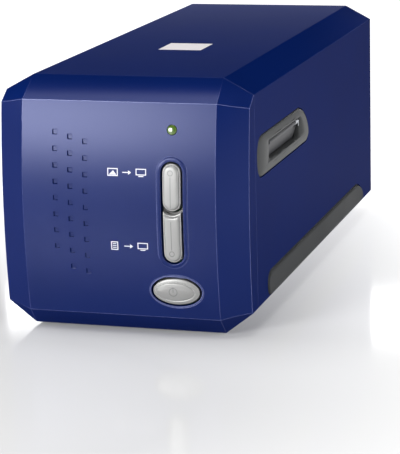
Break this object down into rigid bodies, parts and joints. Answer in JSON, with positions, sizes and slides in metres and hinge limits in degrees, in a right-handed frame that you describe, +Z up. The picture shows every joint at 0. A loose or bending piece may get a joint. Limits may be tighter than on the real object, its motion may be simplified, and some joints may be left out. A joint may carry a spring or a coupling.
{
  "type": "film negative scanner",
  "caption": "Long octagonal desktop film scanner with a flapped film slot through both sides, oval and pill-shaped front buttons and a sliding optical carriage inside.",
  "frame": {"origin": "centre of the bounding box on the table, under the rubber feet", "axes": "+X to the right of someone facing the front panel, +Y from the front panel to the rear, +Z up"},
  "size_m": [0.1214, 0.2738, 0.1191],
  "materials": {
    "casing_blue": "satin injection-moulded plastic, deep navy blue",
    "strip_grey": "satin grey soft rubber",
    "foot_rubber": "matt black rubber",
    "label_white": "matt white film, blank",
    "bezel_grey": "satin grey moulded plastic",
    "flap_grey": "satin grey moulded plastic",
    "bright_steel": "bright drawn steel",
    "button_silver": "silver lacquered plastic",
    "lens_green": "clear yellow-green plastic",
    "board_green": "green solder mask",
    "black_plastic": "matt black plastic",
    "diode_white": "clear white plastic",
    "chassis_zinc": "zinc-plated pressed steel",
    "inner_black": "matt black glass-filled plastic",
    "brass": "turned brass",
    "diffuser_white": "opal white plastic",
    "mirror": "first-surface mirror",
    "barrel_black": "black anodised aluminium",
    "lens_glass": "coated optical glass",
    "gear_white": "white acetal plastic",
    "motor_steel": "plain pressed steel",
    "ribbon_white": "white flat cable"
  },
  "bodies": {
    "casing": {"main_housing": "casing_blue", "base_plate": "casing_blue", "front_bezel": "casing_blue", "rear_panel": "casing_blue", "side_strip_right": "strip_grey", "side_strip_left": "strip_grey", "rubber_feet": "foot_rubber", "top_label": "label_white", "slot_bezel_right": "bezel_grey", "slot_bezel_left": "bezel_grey", "entry_flap_pin": "bright_steel", "exit_flap_pin": "bright_steel", "entry_flap_spring": "bright_steel", "exit_flap_spring": "bright_steel", "status_lens": "lens_green", "front_board": "board_green", "tact_switches": "black_plastic", "status_led": "diode_white", "front_board_screws": "bright_steel", "chassis": "chassis_zinc", "film_gate": "inner_black", "gate_cover": "inner_black", "detent_spring": "bright_steel", "light_housing": "inner_black", "light_board": "board_green", "light_diodes": "diode_white", "diffuser": "diffuser_white", "guide_rods": "bright_steel", "screw_bearings": "brass", "stepper_motor": "motor_steel", "home_sensor": "black_plastic", "main_board": "board_green", "board_chips": "black_plastic", "usb_socket": "bright_steel", "power_socket": "black_plastic", "sensor_ribbon": "ribbon_white", "front_cable": "black_plastic", "light_cable": "black_plastic", "motor_cable": "black_plastic", "case_screws": "bright_steel"},
    "carriage": {"scan_carriage": "inner_black", "carriage_lid": "inner_black", "rod_bushes": "brass", "fold_mirror": "mirror", "lens_barrel": "barrel_black", "lens_elements": "lens_glass", "lens_clamp": "bright_steel", "sensor_board": "board_green", "line_sensor": "black_plastic", "drive_nut": "brass"},
    "screw": {"lead_screw": "bright_steel", "screw_gear": "gear_white"},
    "pinion": {"motor_pinion": "brass"},
    "entry_door": {"entry_flap": "flap_grey"},
    "exit_door": {"exit_flap": "flap_grey"},
    "upper_button": {"upper_scan_button": "button_silver"},
    "lower_button": {"lower_scan_button": "button_silver"},
    "power_key": {"power_button": "button_silver"},
    "detent": {"detent_plunger": "brass"}
  },
  "joints": [
    {"name": "carriage_travel", "type": "slide", "parent": "casing", "child": "carriage", "axis": [0, -1, 0], "range_m": [0, 0.026], "deforming": ["sensor_ribbon"]},
    {"name": "screw_spin", "type": "hinge", "parent": "casing", "child": "screw", "pos_m": [0.045, 0, 0.04], "axis": [0, 1, 0], "continuous": true},
    {"name": "pinion_spin", "type": "hinge", "parent": "casing", "child": "pinion", "pos_m": [0.045, 0.0764, 0.052], "axis": [0, 1, 0], "continuous": true},
    {"name": "entry_flap_swing", "type": "hinge", "parent": "casing", "child": "entry_door", "pos_m": [0.0589, -0.0621, 0.0845], "axis": [0, 1, 0], "range_deg": [0, 65], "stiffness_Nm_per_rad": 0.001, "springref_deg": -34.38},
    {"name": "exit_flap_swing", "type": "hinge", "parent": "casing", "child": "exit_door", "pos_m": [-0.0589, -0.0621, 0.0845], "axis": [0, 1, 0], "range_deg": [0, 80], "stiffness_Nm_per_rad": 0.0005, "springref_deg": -34.38},
    {"name": "upper_button_press", "type": "slide", "parent": "casing", "child": "upper_button", "axis": [0, 1, 0], "range_m": [0, 0.001], "stiffness_N_per_m": 300, "springref_m": -0.002},
    {"name": "lower_button_press", "type": "slide", "parent": "casing", "child": "lower_button", "axis": [0, 1, 0], "range_m": [0, 0.001], "stiffness_N_per_m": 300, "springref_m": -0.002},
    {"name": "power_button_press", "type": "slide", "parent": "casing", "child": "power_key", "axis": [0, 1, 0], "range_m": [0, 0.001], "stiffness_N_per_m": 300, "springref_m": -0.002},
    {"name": "detent_press", "type": "slide", "parent": "casing", "child": "detent", "axis": [0, 0, -1], "range_m": [0, 0.001], "stiffness_N_per_m": 100, "springref_m": -0.002, "deforming": ["detent_spring"]}
  ],
  "couplings": [
    {"joint": "screw_spin", "follows": "carriage_travel", "rad_per_m": 1047.2},
    {"joint": "pinion_spin", "follows": "carriage_travel", "rad_per_m": -3141.6}
  ]
}
